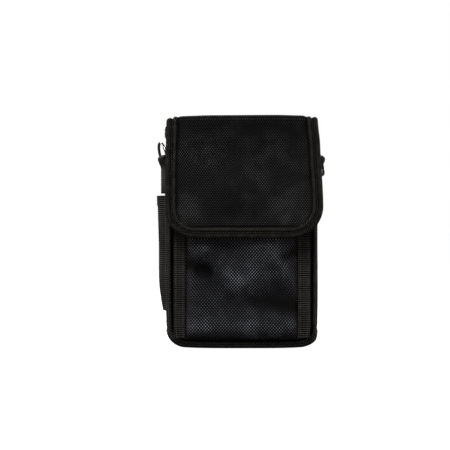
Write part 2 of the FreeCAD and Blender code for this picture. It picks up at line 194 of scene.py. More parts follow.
# --- Side and bottom gussets ---
# One long band of coated ballistic nylon runs down one side, under the pouch and up the
# other, seamed where the side panels meet the bottom panel. Foam backs it, so that it
# stands out between its seams and carries what is inside.
cloth_t = 1.2
foam_t = 3.2
lining_t = 0.6
wall_t = cloth_t + foam_t + lining_t
gusset_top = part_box("right_gusset_outer")[1]
mouth_height = gusset_top.z / MM
side_half = gusset_top.x / MM
bottom_bow = 2.2         # the bottom rises this much towards its corners
side_lean = 0.9          # the sides draw in this much towards the bottom
gusset_seam_height = 18.0
gusset_seam_pull = 0.4
body_depths = [-27.0, -22.0, -18.0, -9.0, 19.0, 22.0, 27.0]
body_halves = [62.0, 65.0, 66.3, side_half, side_half, 69.0, 67.4]
body_rises = [8.1, 3.0, 0.0, 0.0, 0.0, 0.5, 2.5]
body_radii = [12.0, 14.0, 14.0, 14.0, 14.0, 14.0, 12.0]


def joined(*values):
    """Points from their coordinates, each an array or one number for all."""
    return np.stack(np.broadcast_arrays(*values), -1)


def smooth(value, low, high):
    share = np.clip((np.asarray(value, float) - low) / (high - low), 0, 1)
    return share * share * (3 - 2 * share)


def bell(value, middle, width):
    return np.exp(-((value - middle) / width) ** 2)


def u_section(depth, outset, top, half, rise, radius):
    """One upright U of the body: its sides, round corners and slightly bowed bottom."""
    half, rise, radius = half + outset, rise - outset, radius + outset
    side = np.linspace(top, rise + radius, 70)
    turn = np.linspace(0, pi / 2, 22)[1:]
    under = np.linspace(-(half - radius), half - radius, 66)[1:-1]
    left_x = np.concatenate([-half + 0 * side, -half + radius * (1 - np.cos(turn))])
    left_z = np.concatenate([side, rise + radius * (1 - np.sin(turn))])
    x = np.concatenate([left_x, under, -left_x[::-1]])
    z = np.concatenate([left_z, rise + 0 * under, left_z[::-1]])
    z = z + bottom_bow * (np.abs(x) / half) ** 4 * (1 - smooth(z - rise, 0, 40))
    x = x - np.where(x < 0, -1.0, 0.1) * side_lean * (1 - smooth(z, 5, 60))
    right_bulge = 2.0 * bell(z - rise, 5, 6.0) + 0.7 * bell(z, 90, 60.0)
    return joined(x + smooth(x, 48, 62) * right_bulge, depth, z)


def body_band(depths, outset, top):
    """The walls and bottom of the body as one band, inside or outside its cloth by an outset."""
    rows = []
    for depth in depths:
        around = depth + np.linspace(-2.0, 2.0, 9)
        sizes = [float(np.mean(np.interp(around, body_depths, size)))
                 for size in (body_halves, body_rises, body_radii)]
        rows.append(u_section(depth, outset, top, *sizes))
    return np.stack(rows, 1)


def facing(grid):
    """Outward directions of a grid whose rows go up and whose columns go to the right."""
    normal = np.cross(np.gradient(grid, axis=1), np.gradient(grid, axis=0))
    return normal / np.maximum(np.linalg.norm(normal, axis=2, keepdims=True), 1e-9)


def cloth_lengths(grid):
    """How far each point lies along the cloth, across and up, for its weave."""
    across, up = np.zeros((2, *grid.shape[:2]))
    across[:, 1:] = np.cumsum(np.linalg.norm(np.diff(grid, axis=1), axis=2), 1)
    across -= across[:, [across.shape[1] // 2]]
    up[1:] = np.cumsum(np.linalg.norm(np.diff(grid, axis=0), axis=2), 0)
    return joined(across, np.mean(up, 1, keepdims=True))


def add_piece(name, points, faces, material, weave=None, painted_light=None, sharp=50.0):
    """A mesh in millimetres, with the places of its threads and the painted light and shade on its yarn."""
    mesh = bpy.data.meshes.new(name)
    mesh.from_pydata((np.asarray(points) * MM).tolist(), [], faces)
    if weave is not None:
        threads = mesh.attributes.new("weave", "FLOAT_VECTOR", "POINT")
        flat = np.zeros((len(points), 3), np.float32)
        flat[:, :2] = np.asarray(weave) * MM
        threads.data.foreach_set("vector", flat.ravel())
    # This attribute holds painted light: above 0 a painted highlight on the yarn's glint, below 0 painted
    # shade.
    yarn = mesh.attributes.new("painted_light", "FLOAT", "POINT")
    yarn.data.foreach_set("value", np.zeros(len(points), np.float32) if painted_light is None else np.float32(painted_light))
    mesh.shade_smooth()
    mesh.set_sharp_from_angle(angle=radians(sharp))
    mesh.materials.append(material)
    return put(name, mesh)


def quads(*corners):
    return np.stack([part.ravel() for part in corners], 1)


def sewn(name, outside, thickness, material, weave=None, painted_light=None):
    """A closed piece of cloth: a grid of points for its face, and its back behind it."""
    rows, columns = outside.shape[:2]
    inside = outside - facing(outside) * thickness
    if weave is None:
        weave = cloth_lengths(outside)
    count = rows * columns
    place = np.arange(count).reshape(rows, columns)
    a, b, c, d = place[:-1, :-1], place[:-1, 1:], place[1:, 1:], place[1:, :-1]
    faces = [quads(a, b, c, d), quads(a + count, d + count, c + count, b + count)]
    for edge in (place[0, ::-1], place[-1], place[:, 0], place[::-1, -1]):
        faces.append(quads(edge[:-1], edge[1:], edge[1:] + count, edge[:-1] + count))
    points = np.concatenate([outside.reshape(-1, 3), inside.reshape(-1, 3)])
    threads = np.concatenate([weave.reshape(-1, 2)] * 2)
    yarn = None if painted_light is None else np.concatenate([np.ravel(painted_light)] * 2)
    return add_piece(name, points, np.concatenate(faces).tolist(), material, threads, yarn)


def weave_places(tree):
    """Where a point lies on the flat cloth, in metres, with the threads a little uneven."""
    places = node(tree, "ShaderNodeAttribute", attribute_name="weave").outputs["Vector"]
    split = node(tree, "ShaderNodeSeparateXYZ", {0: places})
    shift = times(calc("SUBTRACT", grain(tree, 260.0, 2.0, places), 0.5), 0.0005)
    return [calc("ADD", way, shift) for way in split.outputs[:2]]


def clouded(tree, scale):
    """Soft patches from nothing to one, where the yarns lie closer or more open."""
    inputs = {"Value": grain(tree, scale, 2.0), "From Min": 0.36, "From Max": 0.64}
    return node(tree, "ShaderNodeMapRange", inputs, interpolation_type="SMOOTHSTEP").outputs["Result"]


def glint_paint_factor(tree):
    """Painted light on the yarn: 1 leaves its glint as it is, above 1 is a painted highlight, 0 is painted
    shade and black.
    """
    return calc("ADD", node(tree, "ShaderNodeAttribute", attribute_name="painted_light").outputs["Fac"], 1.0)


def waves(along, pitch):
    """Minus one to one, crossing zero once each pitch."""
    return calc("SINE", calc("MULTIPLY", along, pi / pitch))


def yarn_shades(glint, deep, lit):
    return shades(calc("MINIMUM", glint, 1.0), deep, lit)


def woven_cloth(name, warp_pitch, weft_pitch, deep, lit, weft_share, gloss):
    """Plain weave of thick bulked yarn: every other crossing shows an upright thread."""
    material, tree, shader = new_material(name)
    across, up = weave_places(tree)
    crossing = times(waves(across, warp_pitch), waves(up, weft_pitch))
    warp = calc("POWER", calc("MAXIMUM", crossing, 0.0), 0.8)
    weft = calc("POWER", calc("MAXIMUM", times(crossing, -1.0), 0.0), 0.8)
    filaments = waves(across, warp_pitch / 7)
    height = calc("ADD", warp, times(weft, weft_share))
    height = calc("ADD", height, times(filaments, 0.03))
    # The glint is a painted highlight on the upright threads, in the base colour; random patches and the
    # painted light and shade attribute scale it.
    clouds = times(clouded(tree, 30.0), clouded(tree, 75.0))
    painted_glint_gain = times(between(clouds, 0.45, 1.1), glint_paint_factor(tree))
    glint = times(calc("POWER", warp, 2.2), calc("MAXIMUM", painted_glint_gain, 0.0))
    finish(shader, yarn_shades(glint, deep, lit), between(warp, 0.72, 0.42), gloss, height, 0.0003, 0.9)
    return material


def belongs(piece, slot, *replaced, body="pouch"):
    """Its kind of material, which is not used, the solids it stands for, and the body it is fixed to if to
    one.
    """
    if replaced:
        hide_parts(*replaced)
    if body:
        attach(piece, body)
    return piece


ballistic_cloth = woven_cloth(
    "ballistic_cloth", 0.0011, 0.00155, (0.0014, 0.0014, 0.0015), (0.120, 0.120, 0.125), 0.35, 0.07)
gusset = body_band(np.linspace(-22.2, 22.2, 34), 0.0, mouth_height)
x, y, z = np.moveaxis(gusset, 2, 0)
ripple = (np.sin(z / 17.0 + y / 9.0) + np.sin(x / 21.0 + 1.3)) * 0.28
ripple = ripple * smooth(z, 4, 30) - gusset_seam_pull * bell(z, gusset_seam_height, 1.6)
gusset = gusset + facing(gusset) * ripple[..., None]
gusset_lengths = cloth_lengths(gusset)
middle_column = gusset.shape[1] // 2 - 1
seam_row = int(np.argmin(np.abs(gusset[:91, middle_column, 2] - gusset_seam_height)))
far_row = len(gusset) - 1 - seam_row
for name, rows in (
        ("left_gusset", slice(0, seam_row + 1)),
        ("bottom_gusset", slice(seam_row, far_row + 1)),
        ("right_gusset", slice(far_row, None))):
    piece = sewn(name + "_cloth", gusset[rows], cloth_t, ballistic_cloth, gusset_lengths[rows])
    belongs(piece, "ballistic_cloth", name + "_outer")


# --- Front and back panels ---
# The front and back walls are padded panels of the same cloth. The back one is a little
# taller, swells between its seams, and carries the belt loop and the lid.
front_face = -27.0
back_face = 27.0
back_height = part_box("back_panel_outer")[1].z / MM
back_swell = 1.3
sewn_gap = 0.1           # between a sewn-on piece and the cloth under it
front_panel = (61.2, 9.0, 11.3)      # half width, foot and corner radius
back_panel = (66.6, 3.3, 11.3)


def half_width_at(height, half, rise, radius):
    """Half the width of a panel with round lower corners, at each height."""
    into_corner = np.clip(rise + radius - height, 0, radius)
    return half - (radius - np.sqrt(radius ** 2 - into_corner ** 2))


def panel_grid(half, rise, radius, top, columns=90, rows=120):
    """Points of an upright panel: x across in each row, and the height of the row."""
    corner = rise + radius * (1 - np.cos(np.linspace(0, pi / 2, 18)))
    height = np.concatenate([corner, np.linspace(rise + radius, top, rows)[1:]])
    x = half_width_at(height, half, rise, radius)[:, None] * np.linspace(-1, 1, columns)
    return x, np.repeat(height[:, None], columns, 1)


def edge_distance(x, z, half, rise, radius, top):
    """Roughly how far a point of a panel lies inside its seams."""
    sides = half_width_at(z, half, rise, radius) - np.abs(x)
    return np.minimum(np.minimum(sides, z - rise), top - z)


def back_surface(x, z):
    """How far back the outside of the back wall lies."""
    inside_seam = edge_distance(x, z, *back_panel, back_height + 6)
    swell = back_swell * smooth(inside_seam, 0, 22) - 0.5 * (1 - smooth(inside_seam, 0, 5))
    return back_face + swell + 0.25 * np.sin(x / 19.0 + 0.7) * np.sin(z / 23.0) * smooth(inside_seam, 0, 25)


x, z = panel_grid(*front_panel, mouth_height)
inside_seam = edge_distance(x, z, *front_panel, 400.0)
front_wall = joined(x, front_face + 0.4 - 0.4 * smooth(inside_seam, 0, 8), z)
front_cloth = sewn("front_panel_cloth", front_wall, cloth_t, ballistic_cloth)
belongs(front_cloth, "ballistic_cloth", "front_panel_outer")
x, z = panel_grid(*back_panel, back_height)
back_cloth = sewn("back_panel_cloth", joined(-x, back_surface(x, z), z), cloth_t, ballistic_cloth)
belongs(back_cloth, "ballistic_cloth", "back_panel_outer")


# --- Foam and lining ---
# Closed-cell foam lies between the cloth and a thin woven nylon lining. The foam never
# shows. The lining is a tub of five pieces seen only when the lid is up.
foam_slack = 0.3         # the foam is this much thinner than its room
foam_drop = 1.5          # it stops this far below the mouth
foam_grey, tree, shader = new_material("foam")
cells = node(tree, "ShaderNodeTexVoronoi", {"Scale": 1400.0, "Vector": object_places(tree)})
cell_walls = cells.outputs["Distance"]
finish(shader, shades(cell_walls, (0.02,) * 3, (0.06,) * 3), 0.9, 0.5, cell_walls, 0.0003, 0.6)
for name, cad_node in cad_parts.items():
    if name.endswith("_foam"):
        cad_node.data.materials.clear()
        cad_node.data.materials.append(foam_grey)

x, z = panel_grid(58.8, 11.6, 9.5, mouth_height - foam_drop, 40, 60)
for name, grid, replaced in (
        ("front_panel_foam_pad", joined(x, front_face + cloth_t + sewn_gap, z),
         ("front_panel_foam",)),
        ("gusset_foam",
         body_band(np.linspace(-21.4, 21.4, 24), -cloth_t - sewn_gap, mouth_height - foam_drop),
         ("left_gusset_foam", "bottom_gusset_foam", "right_gusset_foam"))):
    belongs(sewn(name, grid, foam_t - foam_slack, foam_grey), "foam", *replaced)

lining_cloth = woven_cloth(
    "lining_cloth", 0.00045, 0.00045, (0.006, 0.006, 0.007), (0.03, 0.03, 0.031), 0.9, 0.3)


def lined(name, grid, slack, replaced):
    """A piece of slack lining with shallow folds, hung from the mouth against its foam."""
    x, y, z = np.moveaxis(grid, 2, 0)
    folds = slack * (np.sin(x / 9.0 + z / 31.0) * np.sin(z / 27.0 + y / 8.0 + 0.6))
    piece = sewn(name, grid + facing(grid) * folds[..., None], lining_t, lining_cloth)
    belongs(piece, "lining_cloth", *replaced)


lined("lining_band", body_band(np.linspace(22.0, -22.0, 30), -wall_t, mouth_height), 0.25,
      ("left_gusset_lining", "bottom_gusset_lining", "right_gusset_lining"))
x, z = panel_grid(60.6, 6.0, 9.5, mouth_height)
lined("front_lining", joined(-x, front_face + wall_t, z), 0.3,
      ("front_panel_lining",))
x, z = panel_grid(63.4, 6.0, 9.5, back_height)
lined("back_lining", joined(x, back_face - wall_t, z), 0.3,
      ("back_panel_lining",))


# --- Front pocket ---
# A slack flat pocket of a lighter, coarser nylon is sewn over the front wall with fulness
# across its lower half. Its cloth bellies out, tucks in under the belly along a slanting
# fold, swells again and is caught in the bottom seam. Taped edges close its mouth.
pocket_low, pocket_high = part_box("pocket_panel")
pocket_half = pocket_high.x / MM
pocket_foot = pocket_low.z / MM
pocket_mouth = pocket_high.z / MM
pocket_lean = tan(radians(2.5))
foot_turn_height = 23.2  # the cloth turns in to the bottom seam over this height
belly_foot = 33.0        # where it starts to turn in
swell_height = 19.0      # the lower swell, under the slanting fold
pocket_cloth = woven_cloth(
    "pocket_cloth", 0.00133, 0.00155, (0.0018, 0.0018, 0.0021), (0.215, 0.222, 0.245), 0.25, 0.06)


def ridge(x, z, start, end, width, fade=0.35):
    """One along a line between two points, falling to nothing beside and beyond it."""
    run = np.subtract(end, start)
    length = hypot(*run)
    along = ((x - start[0]) * run[0] + (z - start[1]) * run[1]) / length
    beside = ((x - start[0]) * run[1] - (z - start[1]) * run[0]) / length
    reach = smooth(along, -fade * length, 0) * (1 - smooth(along, length, (1 + fade) * length))
    return reach * bell(beside, 0, width)


def ridges(x, z, *folds):
    """Ridges and hollows together: for each its height, the ends of its line, and its width."""
    return sum(height * ridge(x, z, *line) for height, *line in folds)


def pocket_creases(x, z):
    """The slack in the pocket's cloth: what each fold adds to its form."""
    return ridges(
        x, z, (4.6, (0, 62), (26, 92), 16.0, 0.6), (-4.6, (58, 36), (10, 44), 11.0, 0.6),
        (3.0, (50, 50), (33, 78), 5.5), (-2.4, (33, 54), (19, 84), 5.5),
        (-4.4, (-58, 78), (-30, 70), 7.5), (2.6, (-54, 94), (-32, 90), 7.0),
        (-2.2, (-36, 68), (-12, 46), 9.0), (1.4, (-14, 62), (14, 54), 8.0),
        (-3.4, (54, 90), (38, 80), 4.6), (1.4, (-45, 62), (-47, 18), 4.0),
        (-1.2, (-12, 96), (-2, 70), 6.0))


def pocket_depth(x, z):
    """How far the pocket's cloth stands out from the front wall."""
    into_foot = np.clip(belly_foot - z, 0, foot_turn_height) / foot_turn_height
    foot_turn = np.sqrt(np.clip(1 - into_foot ** 5, 0, 1))
    side_turn = np.sqrt(np.clip(1 - (np.clip(np.abs(x) - 37, 0, 13) / 13) ** 2.2, 0, 1))
    depth = 5.5 + (pocket_mouth - z) * pocket_lean + pocket_creases(x, z)
    depth += 2.4 * bell(z + 0.02 * x, swell_height, 9.0)
    depth += 0.18 * np.sin(x / 4.7 + z / 9.0) * np.sin(z / 6.1 - x / 13.0)
    return np.maximum(depth * foot_turn * side_turn, 0.9)


def on_pocket(x, z, stand=0.0):
    """Points over the pocket's cloth by a stand-off."""
    return joined(x, front_face - sewn_gap - pocket_depth(x, z) - stand, z)


columns = np.sin(np.linspace(-1, 1, 150) * pi / 2 * 0.94)
columns = columns / columns[-1] * (pocket_half - sewn_gap)
heights = np.concatenate([
    pocket_foot + foot_turn_height * (1 - np.cos(np.linspace(0.04, pi / 2, 50))),
    np.linspace(belly_foot, pocket_mouth, 130)[1:]])
x, z = np.meshgrid(columns, heights)
# Painted light on the pocket's glint: painted highlight on the ridges of its creases and on the lower swell,
# painted shade in the hollows.
painted_light = 0.17 * pocket_creases(x, z) + 0.3 * bell(z, swell_height, 8.0) - 0.15
pocket_piece = sewn("pocket_cloth", on_pocket(x, z), 0.9, pocket_cloth, None, painted_light)
belongs(pocket_piece, "pocket_cloth", "pocket_panel")


# --- Bound seams and mouths ---
# Twill tape is folded over every raw seam and edge and sewn through with one row of
# thread: round the front and back seams of the pouch, over its mouth, and over the mouth
# of the front pocket.
tape_t = 0.6
tape_drop = 9.5          # how far the tape reaches down from a bound mouth


def ripples(along, pitch):
    """Nought to one and back in twice the pitch."""
    return between(waves(along, pitch), 0.5, 1.0)


def binding_tape(name, pitch, deep, lit, gloss):
    """Diagonal twill: fine cords that cross the tape at a slant."""
    material, tree, shader = new_material(name)
    across, up = weave_places(tree)
    cords = ripples(calc("ADD", across, times(up, 0.8)), pitch / 2)
    height = calc("ADD", cords, times(ripples(across, 0.00035), 0.2))
    # The glint is a painted highlight on the twill's cords, in the base colour, scaled by random patches and
    # the painted light and shade attribute.
    glint = times(calc("POWER", cords, 5.0), between(clouded(tree, 160.0), 0.65, 1.1),
                  calc("MAXIMUM", glint_paint_factor(tree), 0.0))
    finish(shader, yarn_shades(glint, deep, lit), between(cords, 0.8, 0.5), gloss, height, 0.0004, 1.0)
    return material


twill_tape = binding_tape("binding_tape", 0.0019, (0.0009, 0.0009, 0.0008), (0.088, 0.083, 0.073), 0.035)
seam_twill = binding_tape("seam_tape", 0.0024, (0.0006, 0.0006, 0.0006), (0.060, 0.057, 0.050), 0.03)

thread_black, tree, shader = new_material("thread")
twist = waves(weave_places(tree)[0], 0.0004)
thread_shades = shades(between(twist, 0.5, 1.0), (0.020, 0.019, 0.018), (0.11, 0.105, 0.095))
finish(shader, thread_shades, 0.45, 0.5, twist, 0.0001, 0.6)


def lengths_along(line):
    return np.concatenate([[0.0], np.cumsum(np.linalg.norm(np.diff(line, axis=0), axis=1))])


def spread(values, along, places):
    """Values known along a line, at other places along it."""
    return np.stack([np.interp(places, along, column) for column in values.T], 1)


def unit(directions):
    return directions / np.linalg.norm(directions, axis=1, keepdims=True)


def cords(grid, inward=False):
    """Points and faces of closed cords: for each its stations, and the points round each."""
    count, stations, sides = grid.shape[:3]
    a = np.arange(count * stations * sides).reshape(count, stations, sides)
    b = np.roll(a, -1, 2)
    faces = quads(a[:, :-1], b[:, :-1], b[:, 1:], a[:, 1:]).tolist()
    faces += a[:, 0, ::-1].tolist() + a[:, -1].tolist()
    return grid.reshape(-1, 3), [face[::-1] for face in faces] if inward else faces


def stitch_rows(name, rows, body="pouch", pitch=2.6, length=1.9, radius=0.26):
    """Rows of thread: each stitch is a short round cord that dips into the cloth at its ends."""
    turn = np.arange(6) * 2 * pi / 6
    share = np.linspace(0, 1, 5)
    arch = np.sin(pi * share)
    swing = joined(np.cos(turn), np.sin(turn))
    stitches = []
    for line, directions in rows:
        along = lengths_along(line)
        count = max(2, int(along[-1] / pitch))
        places = (np.arange(count) + 0.5) * along[-1] / count
        points, out = spread(line, along, places), unit(spread(directions, along, places))
        ahead = unit(np.gradient(points, axis=0))
        around = swing @ np.stack([out, np.cross(ahead, out)], 1)
        middle = points[:, None] + ahead[:, None] * ((share - 0.5) * length)[:, None]
        middle = middle + out[:, None] * (0.08 + radius * (1.6 * arch - 0.9))[:, None]
        size = radius * (0.55 + 0.45 * arch)
        stitches.append(middle[:, :, None] + size[:, None, None] * around[:, None])
    grid = np.concatenate(stitches)
    weave = np.stack(np.meshgrid(share * length, turn * radius, indexing="ij"), -1).reshape(-1, 2)
    points, faces = cords(grid)
    piece = add_piece(name, points, faces, thread_black, np.tile(weave, (len(grid), 1)), None, 80)
    return belongs(piece, "binding_tape", body=body)


def tape_seam(name, profile, replaced, painted_light):
    """Tape over a seam: its depth and the section of the body that it follows, and the painted light and
    shade across it.
    """
    grid = np.stack([u_section(depth, 0.0, mouth_height, *section) for depth, *section in profile], 1)
    piece = sewn(name, grid, tape_t, seam_twill, None, np.repeat(np.array(painted_light)[None], len(grid), 0))
    belongs(piece, "binding_tape", replaced)
    return grid


def lines(grid, *places):
    """Rows or columns of a grid, each with its outward directions."""
    return [(grid[place], facing(grid)[place]) for place in places]


# The last list of each is painted light across the tape: painted highlight on the crown of each roll,
# painted shade towards its edges, darkest in the front seam's groove beside the webbing.
front_roll = tape_seam("front_seam_tape", [
    (-26.9, 60.6, 9.6, 10.7), (-25.8, 61.0, 9.3, 11.0), (-23.6, 61.4, 8.9, 11.4), (-23.0, 62.2, 8.1, 12.0),
    (-23.3, 62.9, 7.2, 12.5), (-24.7, 63.3, 6.7, 12.8), (-25.7, 63.8, 6.1, 13.1), (-25.8, 64.5, 5.3, 13.5),
    (-25.0, 65.4, 4.1, 14.0), (-23.7, 66.0, 3.1, 14.3), (-22.2, 66.1, 2.5, 14.4), (-20.7, 65.4, 2.7, 14.1)],
    "front_seam_binding", [-1.0, -1.0, -1.0, -1.0, -1.0, -0.9, 0.0, 0.4, 0.3, 0.0, -0.3, -0.6])
back_roll = tape_seam("back_seam_tape", [
    (20.8, 69.0, 0.9, 14.0), (21.6, 69.6, 0.3, 14.4), (22.9, 69.8, 0.1, 14.6),
    (24.6, 69.5, 0.4, 14.3), (26.2, 68.8, 1.2, 13.6), (27.3, 67.9, 2.2, 12.7),
    (27.9, 66.8, 3.3, 11.8), (27.7, 65.7, 4.3, 11.0), (27.1, 64.9, 4.9, 10.4)],
    "back_seam_binding", [-0.5, -0.2, 0.0, 0.2, 0.3, 0.1, -0.1, -0.3, -0.6])
# The rings lie against the front seam near its top and press the thread into the tape.
(front_line, front_out), back_row = *lines(front_roll, np.s_[:, 9]), *lines(back_roll, np.s_[:, 7])
ring_press = 0.55 * smooth(front_line[:, 2], 155.0, 164.0)
fine_stitch = {"pitch": 2.0, "length": 1.45, "radius": 0.23}
stitch_rows("body_seam_stitches", [(front_line - ring_press[:, None] * front_out, front_out), back_row],
            **fine_stitch)

left_edge = np.array([
    (-69.0, 21.4), (-69.2, 10.0), (-69.2, -6.0), (-68.6, -11.0), (-66.4, -18.0), (-65.2, -22.0),
    (-64.0, -25.0), (-62.0, -26.8), (-58.0, -27.0), (0.0, -27.0)])
mouth_line = np.concatenate([left_edge, left_edge[-2::-1] * (-1, 1)])
along = lengths_along(mouth_line)
mouth_line = spread(mouth_line, along, np.linspace(0, along[-1], 260))
ahead = np.gradient(mouth_line, axis=0)
ahead = unit(np.stack([np.convolve(np.pad(way, 4, "edge"), np.ones(9) / 9, "valid") for way in ahead.T], 1))
mouth_rows = []
for outset, above in [
        (0.6, -tape_drop), (0.85, -8.0), (0.65, -5.6), (0.75, -2.5), (0.4, -0.4), (-0.6, 0.6), (-2.5, 0.85),
        (-4.4, 0.6), (-5.5, -0.4), (-5.8, -2.5), (-5.65, -5.6), (-5.85, -8.0), (-5.6, -tape_drop)]:
    edge = mouth_line + ahead[:, ::-1] * (outset, -outset)
    mouth_rows.append(joined(*edge.T, mouth_height + above))
x = np.linspace(-pocket_half + 0.4, pocket_half - 0.4, 110)
pocket_rows = []
for outset, above in [
        (0.65, -tape_drop), (1.1, -8.0), (0.75, -5.6), (0.85, -2.0), (0.3, 0.3), (-0.5, 0.6),
        (-1.4, 0.3), (-1.8, -2.0), (-1.6, -5.6), (-1.8, -8.0), (-1.6, -tape_drop)]:
    height = pocket_mouth + above
    depth = pocket_depth(x, 0 * x + min(height, pocket_mouth))
    depth = front_face - sewn_gap - np.maximum(depth + outset, 0.1)
    pocket_rows.append(joined(x, depth, height))
for name, rows, thickness in (("mouth", mouth_rows, tape_t), ("pocket_mouth", pocket_rows, 0.5)):
    grid = np.stack(rows, 0)
    belongs(sewn(name + "_tape", grid, thickness, twill_tape), "binding_tape", name + "_binding")
    stitch_rows(name + "_stitches", lines(grid, 2), **fine_stitch)

rows = [np.s_[row, 2:-2] for row in (seam_row - 2, seam_row + 2, far_row - 2, far_row + 2)]
stitch_rows("gusset_seam_stitches", lines(gusset, *rows), radius=0.24)


# --- Ribbed webbing up the front ---
# Two strips of polypropylene webbing cover the pocket's raw sides from the bottom seam to
# above its mouth. Weft ribs cross them, and a cord runs down each selvage. Two rows of
# thread hold each strip.
rib_pitch = 1.92
strip_t = 1.3
strip_low, strip_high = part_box("left_front_webbing")
strip_foot = strip_low.z / MM
webbing_stitch = {"pitch": 2.4, "length": 1.6, "radius": 0.23}


def ribbed_webbing(name, deep, lit, gloss):
    material, tree, shader = new_material(name)
    across, up = weave_places(tree)
    yarns = ripples(across, 0.0007)
    ribs = calc("POWER", ripples(calc("ADD", up, 0.00048), rib_pitch * MM / 2), 2.5)
    # The glint is a painted highlight on the tops of the ribs, in the base colour.
    glint = times(ribs, between(yarns, 0.12, 1.25), between(grain(tree, 60.0), 0.1, 1.7))
    finish(shader, yarn_shades(glint, deep, lit), between(yarns, 0.7, 0.48), gloss, yarns, 0.00015, 0.8)
    return material


def over_route(route, across, lift):
    """A grid of points that follows a route up and back, and stands off it by a lift."""
    ahead = unit(np.gradient(route, axis=0))
    return joined(across, route[:, :1] - ahead[:, 1:] * lift, route[:, 1:] + ahead[:, :1] * lift)


def ribs_on(up, height):
    """Round ribs across a webbing, by the distance up it."""
    return height * np.abs(np.sin(pi * up / rib_pitch)) ** 0.8


webbing_cloth = ribbed_webbing("webbing", (0.0006, 0.0006, 0.0005), (0.084, 0.080, 0.070), 0.06)
for side, inner, outer in (("left", -50.5, -60.9), ("right", 49.9, 61.4)):
    left, right = sorted((inner, outer))
    heights = np.arange(strip_foot, strip_high.z / MM, rib_pitch / 6)
    x, z = np.meshgrid(np.linspace(left, right, 28), heights)
    into_corner = 1.6 * (1 - smooth(z, strip_foot - 3, strip_foot + 11))
    x = x - np.sign(x) * into_corner * smooth(np.abs(x), 52, 61)
    from_inner, from_outer = np.abs(x - inner), np.abs(x - outer)
    selvage = bell(from_inner, 0.7, 0.45) + bell(from_outer, 0.7, 0.45)
    sunk = bell(from_inner, 1.9, 0.5) + bell(from_outer, 1.9, 0.5)
    face = strip_t + ribs_on(z, 0.30) * (1 - selvage) + 0.25 * selvage - 0.2 * sunk
    face += 0.35 * np.sin(z / 19.0 + left) * smooth(z, 20, 50)
    grid = joined(x, front_face - sewn_gap - face, z)
    strip = sewn(side + "_front_strip", grid, strip_t - 0.2, webbing_cloth, joined(x, z))
    belongs(strip, "webbing", side + "_front_webbing")
    stitch_rows(side + "_strip_stitches", lines(grid, np.s_[:, 5], np.s_[:, 22]), **webbing_stitch)


# --- The lid ---
# A padded sandwich of ballistic nylon, foam and lining starts in a lap sewn across the
# back, folds over the mouth and folds again down the front. The two folds hinge it.
lid_half_t = 2.1
front_fold_y = -36.36
fold_height = 204.90
lid_foot = 99.6
lap_foot = 188.0
lap_depth = back_face + back_swell + 1.1
left_radius, right_radius = 26.0, 29.0


def rounded_route(corners, radii, step=0.2):
    """Points along straight runs joined by arcs, and how far along each lies."""
    corners = np.array(corners, float)
    line = [corners[0]]
    for before, corner, after, radius in zip(corners, corners[1:], corners[2:], radii):
        back, on = unit(np.stack([before - corner, after - corner]))
        half_angle = acos(float(np.clip(back @ on, -1, 1))) / 2
        reach = radius / tan(half_angle)
        centre = corner + unit((back + on)[None])[0] * radius / sin(half_angle)
        for share in np.linspace(0, 1, 25):
            point = corner + back * reach * (1 - share) + on * reach * share
            line.append(centre + (point - centre) / np.linalg.norm(point - centre) * radius)
    line = np.array(line + [corners[-1]])
    along = lengths_along(line)
    places = np.linspace(0, along[-1], int(along[-1] / step))
    return places, spread(line, along, places)


lid_places, lid_route = rounded_route([
    (lap_depth, lap_foot), (lap_depth, fold_height), (front_fold_y, fold_height),
    (front_fold_y - (fold_height - lid_foot) * pocket_lean, lid_foot)], [4.0, 3.0])
lid_ahead = unit(np.gradient(lid_route, axis=0))
lid_end = lid_places[-1]
front_part = lid_route[:, 0] < front_fold_y + 0.02


def lid_place(height):
    """How far along the lid a height on its front panel lies."""
    return float(np.interp(-height, -lid_route[front_part][:, 1], lid_places[front_part]))


front_fold_t = lid_place(fold_height - 2.0) - 2.0
rear_fold_t = fold_height - lap_foot
split_t = (front_fold_t + rear_fold_t) / 2


def lid_half(t, side):
    """Half the width of the lid at a place along it, without its round lower corners."""
    drop = np.asarray(t, float) - front_fold_t
    if side < 0:
        return 67.0 + 0.9 * smooth(drop, 0, 55) - 0.2 * smooth(drop, 55, 100)
    return 67.3 + 1.7 * smooth(drop, 0, 22) + 2.8 * smooth(drop, 12, 80)


def lid_edge(t, side, inset):
    """Half the width of the lid inside its edge by an inset, corners included."""
    radius = (left_radius if side < 0 else right_radius) - inset
    over = np.clip(np.asarray(t) - (lid_end - inset - radius), 0, radius)
    return lid_half(t, side) - inset - (radius - np.sqrt(radius ** 2 - over ** 2))


def from_sides(x, t):
    return np.minimum(lid_edge(t, 1, 0.0) - x, lid_edge(t, -1, 0.0) + x)


def lid_point(x, t, height):
    """A point of the lid, by its place on the flat lid and its height over the middle of it."""
    y, z, ahead_y, ahead_z = (
        np.interp(t, lid_places, values) for values in (*lid_route.T, *lid_ahead.T))
    near_edge = smooth(np.abs(x), 56, 66)
    droop = np.where(x > 0, 0.2, 1.5) * near_edge * bell(t, front_fold_t, 9.0)
    droop += 1.2 * near_edge * bell(t, rear_fold_t, 9.0)
    sway = 0.35 * np.sin(x / 23.0 + t / 31.0) * smooth(t, front_fold_t + 8, front_fold_t + 40)
    height = height - droop + sway
    return joined(x, y + ahead_z * height, z - ahead_y * height)


